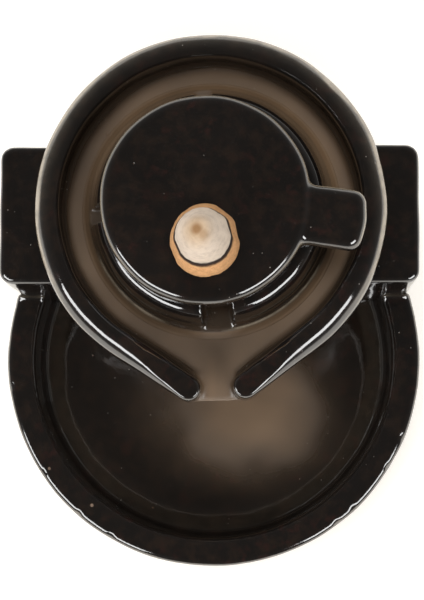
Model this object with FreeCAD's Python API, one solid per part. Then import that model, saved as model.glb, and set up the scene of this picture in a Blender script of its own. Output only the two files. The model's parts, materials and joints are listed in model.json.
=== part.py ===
import FreeCAD, Part
import math
import os

# A backflow incense burner in the shape of a small stone mill, in millimetres and degrees.
# Smoke sinks through the cone, the upper stone and the chamber of the lower stone, leaves by the gates,
# runs round the trough and falls from its spout into the basin.
# The origin is on the table under the middle of the whole outline. +X is right, -Y is front, +Z is up.

Vector = FreeCAD.Vector
ORIGIN = Vector(0, 0, 0)
UP = Vector(0, 0, 1)
TOUCH = 1e-6

# Smoke way: hole in the upper stone, chamber and gates in the lower one
cone_offset = 8.2
smoke_hole_r = 2.5
chamber_margin = 3.3
chamber_round = 0.5
front_gate_w = 5.4
side_gate_w = 3.0

# Lower millstone
bed_h = 8.0
bed_wall = 7.2
bed_flare = 1.45
bed_round = 2.7
bed_floor_t = 1.5
bed_toe_w = 2.2
bed_toe_t = 1.4
bed_toe_r = 1.6
bed_toe_round = 1.4
bed_turn = 3.8

# Upper millstone, a little smaller than the lower one
bed_ledge = 1.55
runner_t = 7.5
runner_top_round = 2.0
runner_under_round = 0.9
spigot_h = 1.5
spigot_play = 0.4
spigot_round = 0.5

# Handle tab on the upper millstone
handle_len = 10.5
handle_w = 11.4
handle_drop = 0.8
handle_lift = 1.7
handle_turn = -8.2
handle_end_bow = 0.8
handle_corner_r = 2.6
handle_edge_round = 2.2
handle_web_r = 1.4
handle_root_depth = 3.0
handle_clearance = 2.2

# Trough
channel_w = 5.85
trough_wall = 5.1
trough_outer_round = 3.8
trough_inner_round = 1.1
trough_floor_t = 3.5
trough_bend_r = 2.2
trough_under_r = 3.5
trough_shift = 0.65
trough_turn = 2.0
spout_len = 3.1
spout_mouth_w = 5.6
spout_lip_round = 0.8
spout_fall = 7.5
spout_fall_len = 9.6

# Stand
stand_h = 39.0
stand_d = 27.2
stand_ledge = 0.3
stand_wall = 4.0
stand_top_t = 4.5
stand_corner_r = 2.6
stand_edge_round = 1.1

# Basin
basin_r = 42.5
basin_h = 15.5
basin_rim_w = 5.8
basin_rim_round = 1.3
basin_lip_round = 0.8
basin_foot_in = 7.2
basin_foot_w = 4.0
basin_foot_recess = 1.2
basin_foot_round = 0.5
basin_belly_z = 6.5
basin_belly_r = 6.0
basin_floor_t = 4.0
basin_wall_lean = 0.8
basin_band_w = 4.1
basin_band_h = 1.9
basin_bend_r = 1.4
basin_floor_bend_r = 4.0
mill_to_basin = 26.3

# Incense cone, partly burnt
cone_base_r = 6.5
cone_taper = 1.2
cone_burn_h = 7.5
cone_bore_r = 1.4
char_t = 0.8
char_shrink = 0.15
ash_h = 11.7
ash_shoulder_h = 4.4
ash_shoulder_in = 0.65
ash_shoulder_round = 9.0
ash_tip_r = 1.6
ash_tip_round = 1.3
ash_bore_h = 5.0

# Radii outwards from the mill's axis
chamber_r = cone_offset + smoke_hole_r + chamber_margin
bed_top_r = chamber_r + bed_wall
bed_base_r = bed_top_r + bed_flare
runner_r = bed_top_r - bed_ledge
trough_inner_r = bed_base_r + channel_w
trough_r = trough_inner_r + trough_wall
spout_reach = trough_r + spout_len

# Heights upwards from the table
handle_t = runner_t - handle_drop - handle_lift
trough_floor_z = stand_h + trough_floor_t
bed_top_z = trough_floor_z + bed_h
handle_z = bed_top_z + handle_lift
trough_h = handle_z - handle_clearance - stand_h
runner_top_z = bed_top_z + runner_t

# Places along Y, with the basin's front and the trough's back equally far from the origin
basin_y = (basin_r - mill_to_basin - trough_r) / 2
mill_y = basin_y + mill_to_basin
stand_front = mill_y - stand_d / 2
stand_back = stand_front + stand_d
stand_w = 2 * (math.sqrt(basin_r**2 - (stand_front - basin_y)**2) + stand_ledge)

# Section of the trough's wall: rounding underneath, and the strip of floor that goes with the wall
trough_foot_r = min(trough_under_r, trough_floor_t)
trough_strip = trough_wall + trough_bend_r

# Radii of the cone at the burning layer
cone_burn_r = cone_base_r - cone_taper
ash_foot_r = cone_burn_r - char_shrink


def flat(x, y):
    """A point in the plan."""
    return Vector(x, y, 0)


def upright(r, z):
    """A point in the half section through an axis."""
    return Vector(r, 0, z)


def outline(corners, place):
    """Closed wire through (a, b, radius) corners, each rounded as far as its neighbours leave room."""
    spots = [place(a, b) for a, b, radius in corners]
    count = len(spots)
    ways = []
    reaches = []
    for i, corner in enumerate(corners):
        back = spots[i - 1] - spots[i]
        ahead = spots[(i + 1) % count] - spots[i]
        half_angle = back.getAngle(ahead) / 2
        ways.append((back, ahead, half_angle))
        reaches.append(corner[2] / math.tan(half_angle))
    bends = []
    for i, (back, ahead, half_angle) in enumerate(ways):
        reach = reaches[i]
        room = [1.0]
        if reach > 0:
            room.append(back.Length / (reach + reaches[i - 1]))
            room.append(ahead.Length / (reach + reaches[(i + 1) % count]))
        reach = reach * min(room)
        to_back = Vector(back).normalize()
        to_ahead = Vector(ahead).normalize()
        radius = reach * math.tan(half_angle)
        inward = (to_back + to_ahead).normalize() * (radius / math.sin(half_angle) - radius)
        bends.append((spots[i] + to_back * reach, spots[i] + inward, spots[i] + to_ahead * reach))
    edges = []
    for i, (start, middle, end) in enumerate(bends):
        before = bends[i - 1][2]
        if (start - before).Length > TOUCH:
            edges.append(Part.makeLine(before, start))
        if (end - start).Length > TOUCH:
            edges.append(Part.Arc(start, middle, end).toShape())
    return Part.Wire(Part.__sortEdges__(edges))


def sharp(points):
    """Corners without rounding."""
    return [(a, b, 0) for a, b in points]


def window(inner, outer, height):
    """Rectangle in the half section, to cut a section down with."""
    return Part.Face(outline(sharp([(inner, 0), (outer, 0), (outer, height), (inner, height)]), upright))


def lathe(corners):
    """Solid of revolution about Z from half-section corners."""
    return Part.Face(outline(corners, upright)).revolve(ORIGIN, UP, 360)


def slab(corners, z, thickness):
    """Plate of the given thickness from plan corners, standing on z."""
    plate = Part.Face(outline(corners, flat)).extrude(UP * thickness)
    plate.translate(UP * z)
    return plate


def rectangle(width, front, back, corner_r):
    """Plan corners of a rectangle that is centred on X."""
    half = width / 2
    return [(x, y, corner_r) for x, y in ((-half, front), (half, front), (half, back), (-half, back))]


def make_basin():
    """Round dish on a foot ring, with a sloping band inside, cut off flat where the stand closes it."""
    rim_in_r = basin_r - basin_rim_w
    wall_in_r = rim_in_r - basin_wall_lean
    foot_r = basin_r - basin_foot_in
    dish = lathe([
        (0, basin_foot_recess, 0),
        (foot_r - basin_foot_w, basin_foot_recess, basin_foot_round),
        (foot_r - basin_foot_w, 0, basin_foot_round),
        (foot_r, 0, basin_foot_round),
        (basin_r, basin_belly_z, basin_belly_r),
        (basin_r, basin_h, basin_rim_round),
        (rim_in_r, basin_h, basin_lip_round),
        (wall_in_r, basin_floor_t + basin_band_h, basin_bend_r),
        (wall_in_r - basin_band_w, basin_floor_t, basin_floor_bend_r),
        (0, basin_floor_t, 0),
    ])
    dish.translate(Vector(0, basin_y, 0))
    behind = Part.makeBox(2 * basin_r, 2 * basin_r, basin_h, Vector(-basin_r, stand_front, 0))
    return dish.cut(behind)


def make_stand():
    """Hollow block with soft edges, open underneath."""
    block = slab(rectangle(stand_w, stand_front, stand_back, stand_corner_r), 0, stand_h)
    top_edges = [edge for edge in block.Edges if edge.BoundBox.ZMin > stand_h / 2]
    block = block.makeFillet(stand_edge_round, top_edges)
    inner_w = stand_w - 2 * stand_wall
    inside = rectangle(inner_w, stand_front + stand_wall, stand_back - stand_wall, stand_corner_r)
    return block.cut(slab(inside, 0, stand_h - stand_top_t))


def trough_section(outer_round, inner_round):
    """Section of the trough's wall with a strip of its floor, set out from the wall's middle line."""
    half = trough_wall / 2
    return outline([
        (-trough_strip, 0, 0),
        (half, 0, trough_foot_r),
        (half, trough_h, outer_round),
        (-half, trough_h, inner_round),
        (-half, trough_floor_t, trough_bend_r),
        (-trough_strip, trough_floor_t, 0),
    ], upright)


def make_trough():
    """Round tray whose wall runs out along two tangents into rounded spout tips."""
    half = trough_wall / 2
    line_r = trough_r - half
    tip_x = (spout_mouth_w + trough_wall) / 2
    tip_y = spout_reach - half
    tip_distance = math.hypot(tip_x, tip_y)
    turn = math.acos(line_r / tip_distance) + math.atan2(tip_x, tip_y)
    run = math.sqrt(tip_distance**2 - line_r**2)
    turn_deg = math.degrees(turn)

    # The wall is rounder outside than inside, and even at the tips
    round_section = trough_section(trough_outer_round, trough_inner_round)
    tip_round = (trough_outer_round + trough_inner_round) / 2
    tip_section = trough_section(tip_round, tip_round)
    outer_half = Part.Face(tip_section).common(window(0, half, trough_h))
    sill = Part.Face(tip_section).common(window(-trough_strip, half, trough_floor_t))

    # Round part of the wall, from one tangent point round the back to the other
    ring = Part.Face(round_section.translated(Vector(line_r, 0, 0)))
    ring.rotate(ORIGIN, UP, turn_deg - 90)
    pieces = [ring.revolve(ORIGIN, UP, 360 - 2 * turn_deg)]

    # Straight run and rounded tip on each side
    for side in (1, -1):
        toward_tip = Vector(-side * math.cos(turn), -math.sin(turn), 0)
        start = round_section.translated(Vector(line_r, 0, 0))
        start.rotate(ORIGIN, UP, side * turn_deg - 90)
        end = tip_section.translated(Vector(line_r, 0, 0))
        end.rotate(ORIGIN, UP, side * turn_deg - 90)
        end.translate(toward_tip * run)
        pieces.append(Part.makeLoft([start, end], True, True))
        tip = outer_half.copy()
        tip.rotate(ORIGIN, UP, side * turn_deg - 90)
        cap = tip.Faces[0].revolve(ORIGIN, UP, -side * 180)
        cap.translate(Vector(side * tip_x, -tip_y, 0))
        pieces.append(cap)

    # Sill of the mouth, between the tips
    sill.rotate(ORIGIN, UP, -90)
    sill.translate(Vector(-tip_x, -tip_y, 0))
    lip = sill.Faces[0].extrude(Vector(2 * tip_x, 0, 0))
    lip_middle = Vector(0, -spout_reach, trough_floor_t)
    lip_edges = [edge for edge in lip.Edges if edge.CenterOfMass.isEqual(lip_middle, TOUCH)]
    pieces.append(lip.makeFillet(spout_lip_round, lip_edges))

    # Floor inside the wall
    inset = trough_foot_r - half
    floor_r = line_r - inset
    shoulder = Vector(floor_r * math.sin(turn), -floor_r * math.cos(turn), 0)
    front = shoulder + Vector(-math.cos(turn), -math.sin(turn), 0) * run
    floor_wire = Part.Wire([
        Part.Arc(shoulder, Vector(0, floor_r, 0), Vector(-shoulder.x, shoulder.y, 0)).toShape(),
        Part.makeLine(Vector(-shoulder.x, shoulder.y, 0), Vector(-front.x, front.y, 0)),
        Part.makeLine(Vector(-front.x, front.y, 0), front),
        Part.makeLine(front, shoulder),
    ])
    floor = Part.Face(floor_wire).extrude(UP * trough_floor_t)

    # The arms of the spout are level at first and fall towards their tips
    fall_start = Vector(0, spout_fall_len - spout_reach, trough_h)
    above = Part.makeBox(2 * trough_r, spout_reach, trough_h, fall_start - Vector(trough_r, spout_reach, 0))
    above.rotate(fall_start, Vector(1, 0, 0), spout_fall)

    trough = floor.multiFuse(pieces).cut(above).removeSplitter()
    trough.rotate(ORIGIN, UP, trough_turn)
    trough.translate(Vector(trough_shift, mill_y, stand_h))
    return trough


def make_bedstone():
    """Flared stone with a round chamber, open at the top and through four gates."""
    stone = lathe([
        (0, 0, 0),
        (bed_base_r + bed_toe_w, 0, 0),
        (bed_base_r + bed_toe_w, bed_toe_t, bed_toe_round),
        (bed_base_r, bed_toe_t, bed_toe_r),
        (bed_top_r, bed_h, bed_round),
        (chamber_r, bed_h, chamber_round),
        (chamber_r, bed_floor_t, chamber_round),
        (0, bed_floor_t, 0),
    ])
    reach = bed_base_r + 2 * bed_toe_w
    for quarter, width in enumerate((front_gate_w, side_gate_w, side_gate_w, side_gate_w)):
        gate = Part.makeBox(width, reach, bed_h, Vector(-width / 2, -reach, bed_floor_t))
        gate.rotate(ORIGIN, UP, 90 * quarter)
        stone = stone.cut(gate)
    stone.rotate(ORIGIN, UP, bed_turn)
    stone.translate(Vector(0, mill_y, trough_floor_z))
    return stone


def make_runner_stone():
    """Thick disc that rests on the lower stone, centred by its spigot, with the smoke hole off centre."""
    spigot_r = chamber_r - spigot_play
    stone = lathe([
        (0, -spigot_h, 0),
        (spigot_r, -spigot_h, spigot_round),
        (spigot_r, 0, 0),
        (runner_r, 0, runner_under_round),
        (runner_r, runner_t, runner_top_round),
        (0, runner_t, 0),
    ])
    hole = Part.makeCylinder(smoke_hole_r, runner_t + spigot_h, Vector(0, -cone_offset, -spigot_h), UP)
    stone = stone.cut(hole)
    stone.translate(Vector(0, mill_y, bed_top_z))
    return stone


def make_turning_handle(stone):
    """Flat tab with a bowed end and small webs at its root, seated on the side of the upper stone."""
    half = handle_w / 2
    reach = runner_r + handle_len
    web_x = math.sqrt((runner_r + handle_web_r)**2 - (half + handle_web_r)**2)
    web_angle = math.atan2(half + handle_web_r, web_x)
    on_rim = flat(runner_r * math.cos(web_angle), runner_r * math.sin(web_angle))
    knee_x = on_rim.x + (on_rim.y - half) * math.tan(web_angle)
    root_x = on_rim.x - handle_root_depth
    tab = slab([
        (root_x, -on_rim.y, 0),
        (on_rim.x, -on_rim.y, 0),
        (knee_x, -half, handle_web_r),
        (reach - handle_end_bow, -half, handle_corner_r),
        (reach, 0, handle_w),
        (reach - handle_end_bow, half, handle_corner_r),
        (knee_x, half, handle_web_r),
        (on_rim.x, on_rim.y, 0),
        (root_x, on_rim.y, 0),
    ], handle_z, handle_t)
    free_edges = [
        edge for edge in tab.Edges
        if edge.CenterOfMass.x > on_rim.x + TOUCH and edge.BoundBox.ZLength < handle_t / 2
    ]
    tab = tab.makeFillet(handle_edge_round, free_edges)
    tab.rotate(ORIGIN, UP, handle_turn)
    tab.translate(Vector(0, mill_y, 0))
    return tab.cut(stone)


def on_runner(shape):
    """Move a cone piece from its own axis to its place over the smoke hole."""
    shape.translate(Vector(0, mill_y - cone_offset, runner_top_z))
    return shape


def make_cone_body():
    """Unburnt foot of the cone, with the draught bore right through."""
    return on_runner(lathe(sharp([
        (cone_bore_r, 0),
        (cone_base_r, 0),
        (cone_burn_r, cone_burn_h),
        (cone_bore_r, cone_burn_h),
    ])))


def make_char_ring():
    """Thin burning layer round the bore."""
    return on_runner(lathe(sharp([
        (cone_bore_r, cone_burn_h),
        (cone_burn_r, cone_burn_h),
        (ash_foot_r, cone_burn_h + char_t),
        (cone_bore_r, cone_burn_h + char_t),
    ])))


def make_ash_cap():
    """Ash with a blunt tip, standing on the burning layer, with the blind end of the bore."""
    foot = cone_burn_h + char_t
    return on_runner(lathe([
        (cone_bore_r, foot, 0),
        (ash_foot_r, foot, 0),
        (ash_foot_r - ash_shoulder_in, foot + ash_shoulder_h, ash_shoulder_round),
        (ash_tip_r, foot + ash_h, ash_tip_round),
        (0, foot + ash_h, 0),
        (0, foot + ash_bore_h, 0),
        (cone_bore_r, foot + ash_bore_h, 0),
    ]))


runner_stone = make_runner_stone()
nodes = {
    "basin": make_basin(),
    "stand": make_stand(),
    "trough": make_trough(),
    "bedstone": make_bedstone(),
    "runner_stone": runner_stone,
    "turning_handle": make_turning_handle(runner_stone),
    "cone_body": make_cone_body(),
    "char_ring": make_char_ring(),
    "ash_cap": make_ash_cap(),
}

os.makedirs("parts", exist_ok=True)
for name, shape in nodes.items():
    shape.exportStep("parts/" + name + ".step")
    print(f"{name}: solids {len(shape.Solids)}, valid {shape.isValid()}, volume {shape.Volume:.1f} mm3")
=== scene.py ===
import json
import math

import bmesh
import bpy
import numpy as np
from mathutils import Matrix, Vector


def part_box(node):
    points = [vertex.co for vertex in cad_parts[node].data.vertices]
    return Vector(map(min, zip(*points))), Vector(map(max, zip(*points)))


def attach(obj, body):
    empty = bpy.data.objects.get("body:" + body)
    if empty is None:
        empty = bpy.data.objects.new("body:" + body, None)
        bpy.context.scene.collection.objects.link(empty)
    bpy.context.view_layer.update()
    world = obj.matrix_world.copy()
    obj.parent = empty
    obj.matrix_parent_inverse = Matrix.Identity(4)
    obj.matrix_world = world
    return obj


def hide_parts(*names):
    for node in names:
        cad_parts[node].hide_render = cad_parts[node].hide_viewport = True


# A black glazed incense burner in the shape of a stone mill, dressed over its CAD frame.
# Lengths in this script are in millimetres unless a name ends in _m. The frame itself is in metres.

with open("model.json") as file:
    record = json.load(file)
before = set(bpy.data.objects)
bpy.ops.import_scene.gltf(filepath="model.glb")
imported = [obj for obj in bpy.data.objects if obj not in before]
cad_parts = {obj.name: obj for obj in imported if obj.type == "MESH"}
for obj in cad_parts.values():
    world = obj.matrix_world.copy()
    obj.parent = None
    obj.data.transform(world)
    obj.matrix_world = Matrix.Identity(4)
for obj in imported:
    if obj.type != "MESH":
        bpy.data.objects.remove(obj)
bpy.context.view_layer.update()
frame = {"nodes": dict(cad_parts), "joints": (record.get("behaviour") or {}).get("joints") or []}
MM = 0.001


def node_box(node):
    """Low and high corner of a CAD node, in millimetres."""
    return [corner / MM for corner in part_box(node)]


# Places that the frame gives
mill_axis = Vector(frame["joints"][0]["pos_m"]) / MM
basin_low, basin_high = node_box("basin")
stand_low, stand_high = node_box("stand")
trough_low, trough_high = node_box("trough")
bed_low, bed_high = node_box("bedstone")
runner_high = node_box("runner_stone")[1]
handle_low, handle_high = node_box("turning_handle")
cone_low, cone_high = node_box("cone_body")
ash_low = node_box("ash_cap")[0]

basin_radius = basin_high.x
basin_middle = Vector((0, basin_low.y + basin_radius, 0))
stand_front = basin_high.y
trough_middle = Vector(((trough_low.x + trough_high.x) / 2, mill_axis.y, 0))
trough_radius = (trough_high.x - trough_low.x) / 2
channel_floor = bed_low.z
bed_toe_width = 2.2
bed_foot_radius = bed_high.x - bed_toe_width
cone_axis = Vector(((cone_low.x + cone_high.x) / 2, (cone_low.y + cone_high.y) / 2, 0))


# Numbers along a surface

def step(low, high, values):
    """Smooth step from 0 at low to 1 at high."""
    share = np.clip((values - low) / (high - low), 0, 1)
    return share * share * (3 - 2 * share)


def fall(low, high, values):
    """Smooth step from 1 at low to 0 at high."""
    return 1 - step(low, high, values)


def between(values, rise, drop):
    """Smooth 1 between two ranges: up over the first, down over the second."""
    return step(*rise, values) * fall(*drop, values)


def from_axis(points, axis):
    """How far each point lies right of an upright axis, behind it, and away from it."""
    aside = points[:, 0] - axis.x
    behind = points[:, 1] - axis.y
    return aside, behind, np.hypot(aside, behind)


def wobble(points, wave, seed):
    """Smooth uneven field between about -1 and 1, whose bumps are about wave apart."""
    chance = np.random.default_rng(seed)
    field = np.zeros(len(points))
    waves = 18
    for _ in range(waves):
        way = chance.normal(size=3)
        way /= np.linalg.norm(way)
        length = wave * chance.uniform(0.7, 1.6)
        field += np.sin(points @ way * (2 * math.pi / length) + chance.uniform(0, 2 * math.pi))
    return field / math.sqrt(waves)


# Meshes as arrays

def points_of(mesh):
    """The mesh's vertices, in millimetres."""
    flat = np.empty(3 * len(mesh.vertices), np.float32)
    mesh.vertices.foreach_get("co", flat)
    return flat.reshape(-1, 3).astype(float) / MM


def set_points(mesh, points):
    """Put the vertices at these places, in millimetres."""
    mesh.vertices.foreach_set("co", (points * MM).astype(np.float32).ravel())
    mesh.update()


def normals_of(mesh):
    """The direction in which each vertex faces."""
    flat = np.empty(3 * len(mesh.vertices), np.float32)
    mesh.vertex_normals.foreach_get("vector", flat)
    return flat.reshape(-1, 3).astype(float)


def edges_of(mesh):
    """The two vertices of each edge."""
    flat = np.empty(2 * len(mesh.edges), np.int32)
    mesh.edges.foreach_get("vertices", flat)
    return flat.reshape(-1, 2)


def mark(mesh, name, values):
    """Store one number for each vertex, for the materials."""
    shaded_crack = mesh.attributes.new(name, "FLOAT", "POINT")
    shaded_crack.data.foreach_set("value", values.astype(np.float32))


def average(values, edges):
    """Mean of each vertex's neighbours, for one row of numbers."""
    here = np.concatenate((edges[:, 0], edges[:, 1]))
    there = np.concatenate((edges[:, 1], edges[:, 0]))
    total = np.bincount(here, values[there], len(values))
    return total / np.bincount(here, minlength=len(values))


def spread(values, edges, rounds):
    """Blur of one row of numbers over the surface."""
    for _ in range(rounds):
        values = (values + average(values, edges)) / 2
    return values


def relax(mesh, rounds, share=0.5):
    """Move every vertex towards its neighbours' middle, by one share or by its own."""
    points = points_of(mesh)
    edges = edges_of(mesh)
    for _ in range(rounds):
        for axis in range(3):
            points[:, axis] += share * (average(points[:, axis], edges) - points[:, axis])
    set_points(mesh, points)


def sink_by(mesh, depths):
    """Push every vertex into the piece by its own depth."""
    set_points(mesh, points_of(mesh) - normals_of(mesh) * depths[:, None])


def convexity(mesh):
    """Bend of the surface at each vertex in 1/mm, positive on ridges and negative in grooves."""
    points = points_of(mesh)
    edges = edges_of(mesh)
    spacing = np.linalg.norm(points[edges[:, 0]] - points[edges[:, 1]], axis=1).mean()
    middle = np.stack([average(points[:, axis], edges) for axis in range(3)], axis=1)
    lift = ((points - middle) * normals_of(mesh)).sum(axis=1)
    bend = 4 * lift / spacing**2
    return spread(bend, edges, 4)


# Pieces made from the CAD nodes

def softened(name, nodes, voxel, rounds, sunk=None):
    """New piece from CAD nodes: their solids as one on an even grid, with every edge softened.

    Where sunk gives an axis, a place and a way, the face there is pushed on into the piece that
    it lies against.
    """
    same_place = 0.0005
    same_face = 0.01
    shape = bmesh.new()
    for node in nodes:
        shape.from_mesh(frame["nodes"][node].data)
    bmesh.ops.remove_doubles(shape, verts=shape.verts, dist=same_place * MM)
    if sunk:
        axis, place, way = sunk
        for vertex in shape.verts:
            if abs(vertex.co[axis] - place * MM) < same_face * MM:
                vertex.co[axis] += way * MM
    mesh = bpy.data.meshes.new(name)
    shape.to_mesh(mesh)
    shape.free()
    piece = bpy.data.objects.new(name, mesh)
    bpy.context.scene.collection.objects.link(piece)
    grid = piece.modifiers.new("grid", "REMESH")
    grid.mode = "VOXEL"
    grid.voxel_size = voxel * MM
    view = bpy.context.evaluated_depsgraph_get()
    made = bpy.data.meshes.new_from_object(piece.evaluated_get(view))
    piece.modifiers.clear()
    piece.data = made
    made.name = name
    made.polygons.foreach_set("use_smooth", np.ones(len(made.polygons), bool))
    relax(made, rounds)
    return piece


def hand_over(piece, body, nodes, material):
    """Join the piece to its body, in place of its CAD nodes, with its finish."""
    piece.data.materials.append(material)
    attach(piece, body)
    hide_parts(*nodes)


# Node materials

class Shader:
    """A material's nodes, with short calls to add and join them."""

    def __init__(self, name):
        self.material = bpy.data.materials.new(name)
        self.material.use_nodes = True
        self.tree = self.material.node_tree
        self.surface = self.tree.nodes["Principled BSDF"]
        self.place = self.add("ShaderNodeTexCoord").outputs["Object"]

    def add(self, kind, **settings):
        node = self.tree.nodes.new(kind)
        for key, value in settings.items():
            setattr(node, key, value)
        return node

    def feed(self, socket, value):
        if isinstance(value, bpy.types.NodeSocket):
            self.tree.links.new(value, socket)
        else:
            socket.default_value = value

    def noise(self, wave, detail=3.0, rough=0.55):
        """Noise whose lumps are about wave millimetres apart, from 0 to 1."""
        node = self.add("ShaderNodeTexNoise")
        self.feed(node.inputs["Vector"], self.place)
        node.inputs["Scale"].default_value = 1 / (wave * MM)
        node.inputs["Detail"].default_value = detail
        node.inputs["Roughness"].default_value = rough
        return node.outputs["Fac"]

    def cells(self, wave):
        """Scattered points about wave millimetres apart: distance to the nearest, and its chance number."""
        node = self.add("ShaderNodeTexVoronoi")
        self.feed(node.inputs["Vector"], self.place)
        node.inputs["Scale"].default_value = 1 / (wave * MM)
        split = self.add("ShaderNodeSeparateColor")
        self.feed(split.inputs["Color"], node.outputs["Color"])
        return node.outputs["Distance"], split.outputs["Red"]

    def stored(self, name):
        """Number stored on the vertices."""
        return self.add("ShaderNodeAttribute", attribute_name=name).outputs["Fac"]

    def height(self):
        """Height over the table, in metres."""
        split = self.add("ShaderNodeSeparateXYZ")
        self.feed(split.inputs["Vector"], self.place)
        return split.outputs["Z"]

    def distance(self, place):
        """Distance from a place given in millimetres, in metres."""
        node = self.add("ShaderNodeVectorMath", operation="DISTANCE")
        self.feed(node.inputs[0], self.place)
        node.inputs[1].default_value = [coordinate * MM for coordinate in place]
        return node.outputs["Value"]

    def math(self, operation, first, second=0.0):
        node = self.add("ShaderNodeMath", operation=operation)
        self.feed(node.inputs[0], first)
        self.feed(node.inputs[1], second)
        return node.outputs[0]

    def ramp(self, value, low, high, to_low=0.0, to_high=1.0):
        """Value spread from low..high to to_low..to_high, smooth at both ends."""
        node = self.add("ShaderNodeMapRange", interpolation_type="SMOOTHSTEP")
        self.feed(node.inputs["Value"], value)
        node.inputs["From Min"].default_value = low
        node.inputs["From Max"].default_value = high
        node.inputs["To Min"].default_value = to_low
        node.inputs["To Max"].default_value = to_high
        return node.outputs["Result"]

    def blend(self, share, first, second):
        """Colour that goes from first to second."""
        node = self.add("ShaderNodeMix", data_type="RGBA")
        self.feed(node.inputs["Factor"], share)
        for socket, value in ((node.inputs["A"], first), (node.inputs["B"], second)):
            self.feed(socket, value if isinstance(value, bpy.types.NodeSocket) else (*value, 1.0))
        return node.outputs["Result"]

    def bump(self, height, depth, after=None):
        """Small relief of about depth millimetres."""
        node = self.add("ShaderNodeBump")
        node.inputs["Distance"].default_value = depth * MM
        self.feed(node.inputs["Height"], height)
        if after is not None:
            self.feed(node.inputs["Normal"], after)
        return node.outputs["Normal"]

    def set(self, **values):
        """Join or set the surface's own sockets."""
        for name, value in values.items():
            self.feed(self.surface.inputs[name.replace("_", " ")], value)


# Flaws in the basin's rim: way round from the front in degrees, right is positive, and how far in
RIM_DENTS = ((-82, 0.5), (-56, 0.5), (-41, 0.3), (-30, 0.4), (37, 0.3), (43, 0.5), (58, 0.2), (67, 0.4))
RIM_PITS = ((-56, 2.1), (-39.4, 3.6))
RIM_ROUND = 0.8


def rim_place(way_deg, inward):
    """Point on the basin's rim."""
    way = math.radians(way_deg)
    away = basin_radius - inward
    drop = max(RIM_ROUND - inward, 0)
    return (away * math.sin(way), basin_middle.y - away * math.cos(way), basin_high.z - drop)


GLAZE_BLACK = (0.0098, 0.0080, 0.0070)
GLAZE_BROWN = (0.0190, 0.0125, 0.0092)
GLAZE_RUST = (0.0230, 0.0112, 0.0090)
# Cream of thin glaze on worn edges, also used for painted floor reflections and a painted highlight
THIN_GLAZE_AND_REFLECTION = (0.50, 0.415, 0.305)
SMOKE_FILM = (0.255, 0.161, 0.090)
BARE_CLAY = (0.30, 0.19, 0.12)
DUST = (0.46, 0.42, 0.37)
GLAZE_IOR = 1.9
GLAZE_ROUGH = (0.055, 0.13)
FILM_ROUGH = 0.45
CLAY_ROUGH = 0.85
DUST_ROUGH = 0.6


def make_glaze():
    """Glossy black glaze: cream where thin, and cream where floor reflections and a highlight are painted,
    dull under a smoke film, with pinholes, dust and bare clay.
    """
    s = Shader("black_glaze")
    mottle = s.ramp(s.noise(wave=3.0, detail=6.0, rough=0.65), 0.42, 0.72)
    colour = s.blend(mottle, GLAZE_BLACK, GLAZE_BROWN)
    blotch = s.ramp(s.noise(wave=2.4, detail=4.0), 0.52, 0.70)
    patch = s.ramp(s.noise(wave=9.0), 0.40, 0.62)
    colour = s.blend(s.math("MULTIPLY", blotch, patch), colour, GLAZE_RUST)
    # Thin glaze on convex edges, together with painted floor reflections along outer edges and a painted
    # highlight at the lower stone's foot
    thin = s.math("MULTIPLY", s.stored("thin_and_reflection"), s.ramp(s.noise(wave=2.2), 0.30, 0.62, 0.60, 1.0))
    colour = s.blend(thin, colour, THIN_GLAZE_AND_REFLECTION)
    cloud = s.ramp(s.noise(wave=9.0, detail=1.0), 0.25, 0.75, 0.80, 1.0)
    film = s.math("MULTIPLY", s.stored("film"), cloud)
    colour = s.blend(film, colour, SMOKE_FILM)

    # Pinholes in a few of the cells, and dust on a few others
    distance, chance = s.cells(wave=3.2)
    pin = s.math("MULTIPLY", s.ramp(distance, 0.05, 0.09, 1.0, 0.0), s.ramp(chance, 0.88, 0.90))
    pin_colour = 0.25
    colour = s.blend(s.math("MULTIPLY", pin, pin_colour), colour, BARE_CLAY)
    distance, chance = s.cells(wave=1.5)
    speck = s.ramp(distance, 0.045, 0.085, 1.0, 0.0)
    dust = s.math("MULTIPLY", speck, s.ramp(chance, 0.72, 0.98, 0.0, 0.7))
    colour = s.blend(dust, colour, DUST)

    # Wiped foot, and clay at the bottom of the pits
    wiped_unevenly = 0.9
    edge = s.math("ADD", s.height(), s.math("MULTIPLY", s.noise(wave=6.0), -wiped_unevenly * MM))
    bare = s.math("MAXIMUM", s.ramp(edge, 0.15 * MM, 0.30 * MM, 1.0, 0.0), s.stored("bare"))
    for flaw in RIM_PITS:
        pit = s.ramp(s.distance(rim_place(*flaw)), 0.15 * MM, 0.50 * MM, 0.8, 0.0)
        bare = s.math("MAXIMUM", bare, pit)
    colour = s.blend(bare, colour, BARE_CLAY)

    rough = s.ramp(s.noise(wave=4.0, detail=6.0), 0.30, 0.75, *GLAZE_ROUGH)
    for share, dull in ((s.ramp(film, 0.0, 0.4), FILM_ROUGH), (bare, CLAY_ROUGH), (dust, DUST_ROUGH)):
        kept = s.math("MULTIPLY", rough, s.math("SUBTRACT", 1.0, share))
        rough = s.math("ADD", kept, s.math("MULTIPLY", share, dull))
    normal = s.bump(s.noise(wave=1.3, detail=2.0), depth=0.012)
    normal = s.bump(s.math("MULTIPLY", pin, -1.0), depth=0.10, after=normal)
    s.set(Base_Color=colour, Roughness=rough, Normal=normal, IOR=GLAZE_IOR)
    return s.material


INCENSE_TAN = (0.84, 0.465, 0.215)
INCENSE_DARK = (0.70, 0.360, 0.155)
SCORCH = (0.055, 0.026, 0.015)
CHAR_BLACK = (0.022, 0.013, 0.010)
ASH_WHITE = (0.80, 0.665, 0.540)
ASH_GREY = (0.60, 0.485, 0.390)
ASH_TAN = (0.62, 0.40, 0.20)
TIP_BROWN = (0.33, 0.165, 0.060)
POWDER_ROUGH = 0.9
BURNT_ROUGH = 0.95
POWDER_IOR = 1.4


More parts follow.
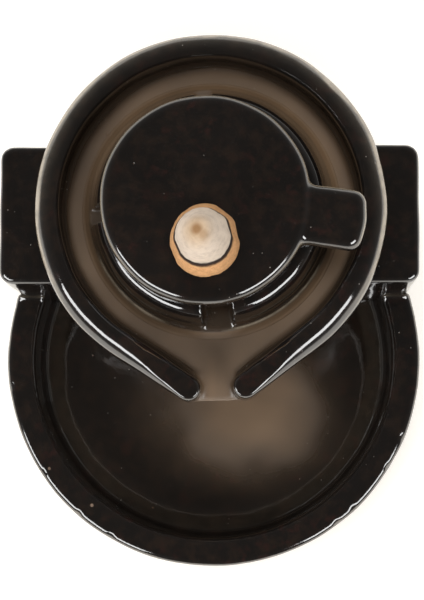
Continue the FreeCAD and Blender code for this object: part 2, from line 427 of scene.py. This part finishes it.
def make_incense():
    """Pressed incense powder, scorched towards the burning line."""
    s = Shader("incense")
    colour = s.blend(s.ramp(s.noise(wave=0.8, detail=6.0), 0.35, 0.70), INCENSE_TAN, INCENSE_DARK)
    colour = s.blend(s.ramp(s.noise(wave=0.25, detail=2.0), 0.62, 0.74), colour, SCORCH)
    scorch_reach = 0.9
    reach = s.math("ADD", s.height(), s.math("MULTIPLY", s.noise(wave=2.0), scorch_reach * MM))
    scorched = s.ramp(reach, (cone_high.z - 1.0) * MM, (cone_high.z + 0.15) * MM)
    colour = s.blend(scorched, colour, SCORCH)
    grain = s.bump(s.noise(wave=0.35, detail=6.0, rough=0.7), depth=0.10)
    s.set(Base_Color=colour, Roughness=POWDER_ROUGH, Normal=grain, IOR=POWDER_IOR)
    return s.material


def make_char():
    """Matte char, brown in places."""
    s = Shader("char")
    colour = s.blend(s.ramp(s.noise(wave=0.5, detail=5.0), 0.50, 0.75), CHAR_BLACK, SCORCH)
    grain = s.bump(s.noise(wave=0.3, detail=6.0, rough=0.7), depth=0.12)
    s.set(Base_Color=colour, Roughness=BURNT_ROUGH, Normal=grain, IOR=POWDER_IOR)
    return s.material


def make_ash():
    """Off-white ash in fine layers, with painted shade in the cracks between them, a brown tip and a dark
    foot.
    """
    s = Shader("ash")
    crack_shade = 0.45
    colour = s.blend(s.ramp(s.noise(wave=1.2, detail=6.0), 0.42, 0.75, 0.0, 0.7), ASH_WHITE, ASH_GREY)
    # Painted shade in the cracks between the layers
    colour = s.blend(s.math("MULTIPLY", s.stored("shaded_crack"), crack_shade), colour, ASH_GREY)
    colour = s.blend(s.stored("warm"), colour, ASH_TAN)
    colour = s.blend(s.stored("tip"), colour, TIP_BROWN)
    colour = s.blend(s.stored("foot"), colour, CHAR_BLACK)
    grain = s.bump(s.noise(wave=0.4, detail=6.0, rough=0.7), depth=0.09)
    s.set(Base_Color=colour, Roughness=BURNT_ROUGH, Normal=grain, IOR=POWDER_IOR)
    return s.material


# Smoke film at each vertex: round the mill, down the spout and where the stream lands

def nowhere(mesh):
    """0 at each vertex."""
    return np.zeros(len(mesh.vertices))


def haze(aside, behind):
    """Strength of the film round the mill: weaker on the left and in front."""
    weakest = 0.66
    weak_at, full_at = -22.0, 14.0
    return weakest + (1 - weakest) * step(weak_at, full_at, aside + 0.6 * behind)


def film_on_trough(mesh):
    """Film on the channel's floor, fading towards the wall, and along the middle of the spout."""
    blur_rounds = 180
    stream_width = 3.2
    stream_strength = 0.75
    points = points_of(mesh)
    height = points[:, 2] - channel_floor
    aside, behind, _ = from_axis(points, trough_middle)
    inside = between(height, (-1.5, -1.0), (0.3, 3.5))
    wall = spread(step(0.4, 1.2, height), edges_of(mesh), blur_rounds)
    ring = fall(0.10, 0.58, wall) * haze(aside, behind)
    stream = np.exp(-(aside / stream_width)**2) * fall(-29.0, -24.0, behind)
    return inside * np.maximum(ring, stream_strength * stream)


def film_on_bedstone(mesh):
    """Film on the toe, and up the wall, higher at the back than in front."""
    back_strength = 0.60
    front_strength = 0.22
    points = points_of(mesh)
    height = points[:, 2] - channel_floor
    aside, behind, away = from_axis(points, trough_middle)
    at_back = back_strength * fall(1.0, 6.5, height)
    in_front = front_strength * fall(0.6, 3.2, height)
    on_wall = in_front + (at_back - in_front) * step(-9.0, 12.0, behind)
    on_toe = haze(aside, behind) * step(0.6, 1.0, away - bed_foot_radius)
    return step(-0.2, 0.0, height) * np.maximum(on_wall, on_toe)


def film_on_basin(mesh):
    """Film on the floor where the stream lands, drawn out to the left."""
    landing_x, landing_y = 10.0, -19.2
    drawn_out = 1.5
    reach = 11.2
    steepness = 2.6
    everywhere, in_landing = 0.03, 0.90
    points = points_of(mesh)
    across = points[:, 0] - landing_x
    across = np.where(across < 0, across / drawn_out, across)
    off = np.hypot(across, points[:, 1] - landing_y) + 0.8 * wobble(points, 11.0, seed=51)
    on_floor = between(points[:, 2], (2.5, 3.5), (4.3, 6.2))
    return on_floor * (everywhere + in_landing * np.exp(-(np.clip(off, 0, None) / reach)**steepness))


# Bare clay and thin glaze at each vertex

def bare_in_stand(mesh):
    """1 in the hollow of the stand, which no glaze reaches."""
    wall = 3.6
    points = points_of(mesh)
    inside = np.abs(points[:, 0]) < stand_high.x - wall
    inside &= (points[:, 1] > stand_low.y + wall) & (points[:, 1] < stand_high.y - wall)
    inside &= points[:, 2] < stand_high.z - wall
    return inside.astype(float)


def floor_reflection_band(mesh, floor_z, middle):
    """1 on the steep part of the upper edges that face away from the middle, above floor_z: where the glaze
    would mirror the floor, for a painted floor reflection.
    """
    points = points_of(mesh)
    normals = normals_of(mesh)
    slope = normals[:, 2] + 0.05 * wobble(points, 9.0, seed=61)
    steep = between(slope, (0.20, 0.32), (0.60, 0.74))
    outward = ((points[:, :2] - np.array(middle[:2])) * normals[:, :2]).sum(axis=1)
    return steep * step(floor_z - 0.5, floor_z + 0.5, points[:, 2]) * (outward > 0)


def painted_reflection_on_basin(mesh):
    """Painted reflections: a faint floor reflection along the rim's outer edge, and a lighter band between
    the floor and the wall.
    """
    rim_strength = 0.20
    rim_from_z = 14.0
    band_strength = 0.035
    points = points_of(mesh)
    away = from_axis(points, basin_middle)[2]
    sloping = between(away, (31.5, 32.3), (35.0, 35.7)) * fall(7.0, 8.0, points[:, 2])
    return np.maximum(rim_strength * floor_reflection_band(mesh, rim_from_z, basin_middle), band_strength * sloping)


def painted_reflection_on_trough(mesh):
    """Painted floor reflection: a cream line along the rim's outer edge, finer and weaker on the arms, and
    broad and soft at the back.
    """
    line_strength = 0.90
    line_from_z = 44.0
    arm_strength = 0.14
    back_strength = 0.80
    back_width = 0.8
    points = points_of(mesh)
    facing_up = normals_of(mesh)[:, 2]
    from_tip = points[:, 1] - trough_low.y
    line = line_strength * floor_reflection_band(mesh, line_from_z, mill_axis)
    line *= arm_strength + (1 - arm_strength) * step(6.0, 28.0, from_tip)
    line *= 1 - step(0.34, 0.48, facing_up) * fall(14.0, 30.0, from_tip)

    # Broad painted floor reflection on the crest at the back
    _, behind, away = from_axis(points, trough_middle)
    inward = np.clip(trough_radius - away, 0, None)
    on_crest = step(0.20, 0.32, facing_up) * step(trough_high.z - 3.0, trough_high.z - 2.0, points[:, 2])
    at_back = np.exp(-inward / back_width) * on_crest * step(-10.0, 12.0, behind)
    return np.maximum(line, back_strength * at_back)


def painted_highlight_on_bedstone(mesh):
    """Painted highlight: a light line along the front of the foot, left and right of the gate, where the
    wall ends on the toe.
    """
    highest = 2.5
    points = points_of(mesh)
    aside, behind, away = from_axis(points, trough_middle)
    line = between(away - bed_foot_radius, (0.35, 0.58), (0.72, 0.95))
    line *= points[:, 2] < channel_floor + highest
    way_deg = np.degrees(np.arctan2(aside, -behind))
    left = between(way_deg, (-72, -58), (-30, -18))
    right = between(way_deg, (4, 16), (56, 70))
    return line * (left + right) * (0.85 + 0.15 * wobble(points, 5.0, seed=71))


def painted_reflection_on_runner(mesh):
    """Painted floor reflection: a fine line along the upper stone's and the handle's outer edge, dim in
    front.
    """
    line_strength = 0.8
    line_from_z = 53.5
    dim_in_front = 0.90
    normals = normals_of(mesh)
    facing_front = step(0.25, 0.90, -normals[:, 1])
    line = line_strength * floor_reflection_band(mesh, line_from_z, mill_axis)
    return line * (1 - dim_in_front * facing_front) * fall(0.46, 0.62, normals[:, 2])


# Last changes to the shapes of the glazed pieces

def dent(mesh, place, radius, depth):
    """Small hollow in the surface."""
    from_place = np.linalg.norm(points_of(mesh) - np.array(place), axis=1)
    sink_by(mesh, depth * fall(0, radius, from_place))


def meet_stand(mesh):
    """Draw the basin's rim up in a small hollow curve where it meets the stand."""
    reach = 1.3
    lift = 0.6
    points = points_of(mesh)
    near = np.clip(1 - (stand_front - points[:, 1]) / reach, 0, 1)
    points[:, 2] += lift * near**2 * step(basin_high.z - 1.0, basin_high.z - 0.1, points[:, 2])
    set_points(mesh, points)


def finish_basin(mesh):
    """Soft bend at the floor, join to the stand, and the flaws in the rim."""
    bend_radius = 31.7
    above_foot = 3.0
    points = points_of(mesh)
    away = from_axis(points, basin_middle)[2]
    at_bend = fall(1.0, 2.6, np.abs(away - bend_radius)) * (points[:, 2] > above_foot)
    relax(mesh, 40, 0.5 * at_bend)
    meet_stand(mesh)
    for flaw in RIM_DENTS:
        dent(mesh, rim_place(*flaw), radius=1.3, depth=0.22)
    for flaw in RIM_PITS:
        dent(mesh, rim_place(*flaw), radius=0.8, depth=0.20)


def shape_bedstone(mesh):
    """Set the lower stone's outside in the middle of the trough, thin out its toe, ease the front gate."""
    toe_thinned = 0.88
    gate_middle = 1.5
    points = points_of(mesh)
    away = from_axis(points, mill_axis)[2]
    points[:, 0] += (trough_middle.x - mill_axis.x) * step(15.0, 18.0, away)
    _, behind, away = from_axis(points, trough_middle)
    height = np.clip(points[:, 2] - channel_floor, 0, None)
    points[:, 2] -= toe_thinned * height * step(0.5, 1.9, away - bed_foot_radius)
    set_points(mesh, points)
    in_gate = fall(4.0, 6.0, np.abs(points[:, 0] - gate_middle)) * fall(-16.0, -14.0, behind)
    relax(mesh, 14, 0.5 * in_gate)


def meet_handle(mesh):
    """Run the upper stone and its handle into each other with soft hollows."""
    points = points_of(mesh)
    away = from_axis(points, mill_axis)[2]
    rise = (handle_low.y - 2.5, handle_low.y + 0.5)
    drop = (handle_high.y - 0.5, handle_high.y + 2.5)
    beside = between(points[:, 1], rise, drop) * step(10.0, 14.0, points[:, 0])
    near = fall(0.8, 3.0, np.abs(away - runner_high.x)) * beside
    relax(mesh, 12, 0.5 * near)


# Glazed pieces

glaze = make_glaze()


def uneven(mesh, depth, wave, seed, still):
    """Sink the surface by a hair to depth, as hand-made ware is uneven. Where still is 1 it stays."""
    hair = 0.02
    swing = np.clip(wobble(points_of(mesh), wave, seed), -1, 1)
    sink_by(mesh, (hair + depth * (0.5 + 0.5 * swing)) * (1 - still))


def glazed(name, body, nodes, voxel, rounds, seed, sunk=None, shape=None, depth=0.12, wave=10.0,
           thin=nowhere, film=nowhere, bare=nowhere):
    """Glazed piece with all that its material needs.

    Shape is a last change to its mesh. Thin says where the glaze is thin on edges and where floor
    reflections and a highlight are painted. Film and bare say where the glaze is dull or missing.
    """
    worn_edges = 0.20
    piece = softened(name, nodes, voxel, rounds, sunk)
    mesh = piece.data
    if shape:
        shape(mesh)
    bottom = node_box(nodes[0])[0].z
    still = fall(0.1, 1.2, points_of(mesh)[:, 2] - bottom)
    uneven(mesh, depth, wave, seed, still)
    line = thin(mesh)
    # Thin glaze on convex edges, stored together with the painted reflections and highlight from thin
    mark(mesh, "thin_and_reflection", np.maximum(worn_edges * step(0.7, 1.8, convexity(mesh)), line))
    mark(mesh, "film", film(mesh) * (1 - line))
    mark(mesh, "bare", bare(mesh))
    hand_over(piece, body, nodes, glaze)


ALONG_Y, ALONG_Z = 1, 2
glazed("basin_glazed", "burner", ["basin"], voxel=0.42, rounds=7, seed=0, sunk=(ALONG_Y, stand_front, 0.8),
       shape=finish_basin, thin=painted_reflection_on_basin, film=film_on_basin)
glazed("stand_glazed", "burner", ["stand"], voxel=0.50, rounds=4, seed=1, bare=bare_in_stand)
glazed("trough_glazed", "burner", ["trough"], voxel=0.37, rounds=6, seed=2, depth=0.15, wave=11.0,
       thin=painted_reflection_on_trough, film=film_on_trough)
glazed("bedstone_glazed", "burner", ["bedstone"], voxel=0.27, rounds=5, seed=3,
       sunk=(ALONG_Z, channel_floor, -0.8), shape=shape_bedstone,
       thin=painted_highlight_on_bedstone, film=film_on_bedstone)
glazed("runner_glazed", "runner", ["runner_stone", "turning_handle"], voxel=0.27, rounds=6, seed=4,
       shape=meet_handle, thin=painted_reflection_on_runner)


# The cone: hand-pressed, so not quite round. Flats: way round in degrees, and share of the radius left

FLATS = ((58, 0.965), (16, 0.950), (203, 0.965), (285, 0.990), (120, 0.990))


def pressed(piece, depth, seed):
    """Flatten the cone's sides a little and roughen them."""
    mesh = piece.data
    points = points_of(mesh)
    across = points[:, :2] - np.array(cone_axis[:2])
    away = np.hypot(across[:, 0], across[:, 1])
    turn = np.arctan2(across[:, 1], across[:, 0])
    share = np.ones(len(points))
    for way, reach in FLATS:
        facing = np.cos(turn - math.radians(way))
        share = np.minimum(share, np.where(facing > 0.5, reach / np.maximum(facing, 0.5), 1))
    outside = step(1.8, 3.2, away)
    points[:, :2] = np.array(cone_axis[:2]) + across * (1 + (share - 1) * outside)[:, None]
    set_points(mesh, points)
    relax(mesh, 5)
    points = points_of(mesh)
    grit = 0.6 * wobble(points, 1.1, seed) + 0.4 * wobble(points, 3.5, seed + 1)
    sink_by(mesh, depth * (0.5 + 0.5 * np.clip(grit, -1, 1)) * outside)


def make_cone_body():
    """Unburnt part of the cone, whose foot is a little longer towards the back."""
    longer = 0.11
    piece = softened("cone_body_pressed", ["cone_body"], voxel=0.15, rounds=1)
    points = points_of(piece.data)
    behind = np.clip(points[:, 1] - cone_axis.y, 0, None)
    at_foot = fall(0.0, 1.0, (points[:, 2] - cone_low.z) / (cone_high.z - cone_low.z))
    points[:, 1] += longer * behind * at_foot
    set_points(piece.data, points)
    pressed(piece, depth=0.08, seed=21)
    hand_over(piece, "cone", ["cone_body"], make_incense())


def make_char_ring():
    """Burning line."""
    piece = softened("char_ring_burnt", ["char_ring"], voxel=0.11, rounds=1)
    pressed(piece, depth=0.10, seed=23)
    hand_over(piece, "cone", ["char_ring"], make_char())


def make_ash_cap():
    """Standing ash with cracks between its layers and a brown tip."""
    layer_height = 0.85
    crack_depth = 0.11
    piece = softened("ash_cap_layered", ["ash_cap"], voxel=0.13, rounds=2)
    mesh = piece.data
    pressed(piece, depth=0.08, seed=25)
    points = points_of(mesh)
    rise = points[:, 2] - ash_low.z
    aside, behind, away = from_axis(points, cone_axis)
    outer = np.maximum(step(1.6, 2.4, away), step(6.0, 7.0, rise))
    layers = np.sin(2 * math.pi * (rise + 0.22 * wobble(points, 4.0, seed=31)) / layer_height)
    crack = step(0.55, 0.95, layers) * step(0.30, 0.9, wobble(points, 3.2, seed=33)) * outer
    sink_by(mesh, crack_depth * crack)
    # Where the cracks are, for the painted shade in them
    mark(mesh, "shaded_crack", crack)

    off_tip = np.hypot(aside + 0.65, behind + 0.4)
    beside_tip = np.hypot(aside - 0.45, behind + 1.3)
    brown = np.maximum(0.85 * fall(0.4, 1.5, off_tip), 0.45 * fall(0.3, 1.4, beside_tip))
    mark(mesh, "tip", brown * step(6.0, 8.0, rise))
    mark(mesh, "warm", 0.60 * fall(1.0, 3.6, off_tip) * step(4.0, 7.0, rise))
    mark(mesh, "foot", 0.9 * fall(0.3, 1.2, rise + 0.25 * wobble(points, 2.0, seed=35)))
    hand_over(piece, "cone", ["ash_cap"], make_ash())


make_cone_body()
make_char_ring()
make_ash_cap()


# Studio: pale floor, two soft lamps in front, a wide soft light above

PAPER = (0.90, 0.87, 0.82, 1.0)
PAPER_GLOW = (1.0, 0.95, 0.87, 1.0)


def make_floor():
    """Matte white paper, shown white to the camera away from the object's shadow."""
    size_m = 4.0
    near_m, far_m = 0.05, 0.60
    near_glow, far_glow = 0.50, 0.85
    mesh = bpy.data.meshes.new("floor")
    corners = [(-size_m, -size_m, 0), (size_m, -size_m, 0), (size_m, size_m, 0), (-size_m, size_m, 0)]
    mesh.from_pydata(corners, [], [(0, 1, 2, 3)])
    floor = bpy.data.objects.new("floor", mesh)
    bpy.context.scene.collection.objects.link(floor)
    s = Shader("floor_paper")
    tree = s.tree
    s.set(Base_Color=PAPER, Roughness=0.9, IOR=1.3)
    away = s.add("ShaderNodeVectorMath", operation="LENGTH")
    s.feed(away.inputs[0], s.place)
    glow = s.add("ShaderNodeEmission")
    glow.inputs["Color"].default_value = PAPER_GLOW
    s.feed(glow.inputs["Strength"], s.ramp(away.outputs["Value"], near_m, far_m, near_glow, far_glow))
    none = s.add("ShaderNodeEmission")
    none.inputs["Strength"].default_value = 0.0
    path = s.add("ShaderNodeLightPath")
    seen = s.math("ADD", path.outputs["Is Camera Ray"], path.outputs["Is Glossy Ray"])
    seen = s.math("ADD", seen, path.outputs["Is Transmission Ray"])
    pick = s.add("ShaderNodeMixShader")
    s.feed(pick.inputs[0], s.math("MINIMUM", seen, 1.0))
    tree.links.new(none.outputs[0], pick.inputs[1])
    tree.links.new(glow.outputs[0], pick.inputs[2])
    both = s.add("ShaderNodeAddShader")
    tree.links.new(s.surface.outputs[0], both.inputs[0])
    tree.links.new(pick.outputs[0], both.inputs[1])
    tree.links.new(both.outputs[0], tree.nodes["Material Output"].inputs["Surface"])
    mesh.materials.append(s.material)


# How bright the world is by height, 0 at the horizon and 1 overhead
WORLD_LEVELS = ((0.0, 0.80), (0.07, 0.55), (0.16, 0.20), (0.45, 0.11), (0.77, 0.06), (0.95, 0.035))
WORLD_GREEN, WORLD_BLUE = 0.985, 0.96
WORLD_FRONT = 0.45


def make_world():
    """Pale low down, brighter at the back than in front, and dark overhead."""
    world = bpy.data.worlds.new("studio")
    world.use_nodes = True
    tree = world.node_tree
    place = tree.nodes.new("ShaderNodeTexCoord")
    split = tree.nodes.new("ShaderNodeSeparateXYZ")
    tree.links.new(place.outputs["Generated"], split.inputs[0])
    ramp = tree.nodes.new("ShaderNodeValToRGB")
    stops = ramp.color_ramp.elements
    while len(stops) < len(WORLD_LEVELS):
        stops.new(1.0)
    for stop, (position, level) in zip(stops, WORLD_LEVELS):
        stop.position = position
        stop.color = (level, level * WORLD_GREEN, level * WORLD_BLUE, 1)
    tree.links.new(split.outputs["Z"], ramp.inputs["Fac"])
    front = tree.nodes.new("ShaderNodeMapRange")
    tree.links.new(split.outputs["Y"], front.inputs["Value"])
    front.inputs["From Min"].default_value = -1.0
    front.inputs["From Max"].default_value = 0.4
    front.inputs["To Min"].default_value = WORLD_FRONT
    tree.links.new(ramp.outputs["Color"], tree.nodes["Background"].inputs["Color"])
    tree.links.new(front.outputs["Result"], tree.nodes["Background"].inputs["Strength"])
    bpy.context.scene.world = world


def make_lamp(name, way_deg, rise_deg, distance_m, size_m, power):
    """Soft lamp at a way round from the front (right is positive) and a height, turned to the mill."""
    lamp = bpy.data.lights.new(name, "AREA")
    lamp.shape = "RECTANGLE"
    lamp.size, lamp.size_y = size_m
    lamp.energy = power
    holder = bpy.data.objects.new(name, lamp)
    way, rise = math.radians(way_deg), math.radians(rise_deg)
    out = Vector((math.sin(way) * math.cos(rise), -math.cos(way) * math.cos(rise), math.sin(rise)))
    target = Vector((mill_axis.x, mill_axis.y, trough_high.z)) * MM
    holder.location = target + out * distance_m
    holder.rotation_euler = out.to_track_quat("Z", "Y").to_euler()
    holder.visible_camera = False
    bpy.context.scene.collection.objects.link(holder)


def make_top_light():
    """Wide soft light from above and a little behind, which the glaze doesn't mirror."""
    lamp = bpy.data.lights.new("top_light", "SUN")
    lamp.energy = 1.8
    lamp.angle = math.radians(60)
    holder = bpy.data.objects.new("top_light", lamp)
    holder.rotation_euler = (math.radians(-30), math.radians(-6), 0)
    holder.visible_glossy = False
    bpy.context.scene.collection.objects.link(holder)


def make_camera():
    """The photograph's view: almost straight down, from a little in front and to the right."""
    image_high_px = 600
    focal_px = 1820.57
    lens = bpy.data.cameras.new("camera")
    lens.sensor_fit = "VERTICAL"
    lens.sensor_height = 36.0
    lens.lens = focal_px / image_high_px * lens.sensor_height
    lens.clip_start = 0.01
    stand_at = Vector((12.83, -35.91, 387.87)) * MM
    look_at = Vector((0.683, 0.651, 40.0)) * MM
    ahead = (look_at - stand_at).normalized()
    right = ahead.cross(Vector((0, 1, 0))).normalized()
    up = right.cross(ahead)
    camera = bpy.data.objects.new("camera", lens)
    camera.matrix_world = Matrix.Translation(stand_at) @ Matrix((right, up, -ahead)).transposed().to_4x4()
    bpy.context.scene.collection.objects.link(camera)
    bpy.context.scene.camera = camera


make_floor()
make_world()
make_lamp("soft_left", way_deg=-46, rise_deg=31, distance_m=0.45, size_m=(0.34, 0.13), power=1.11)
make_lamp("soft_right", way_deg=41.5, rise_deg=31, distance_m=0.45, size_m=(0.26, 0.13), power=0.85)
make_top_light()
make_camera()
bpy.context.scene.view_settings.view_transform = "Standard"
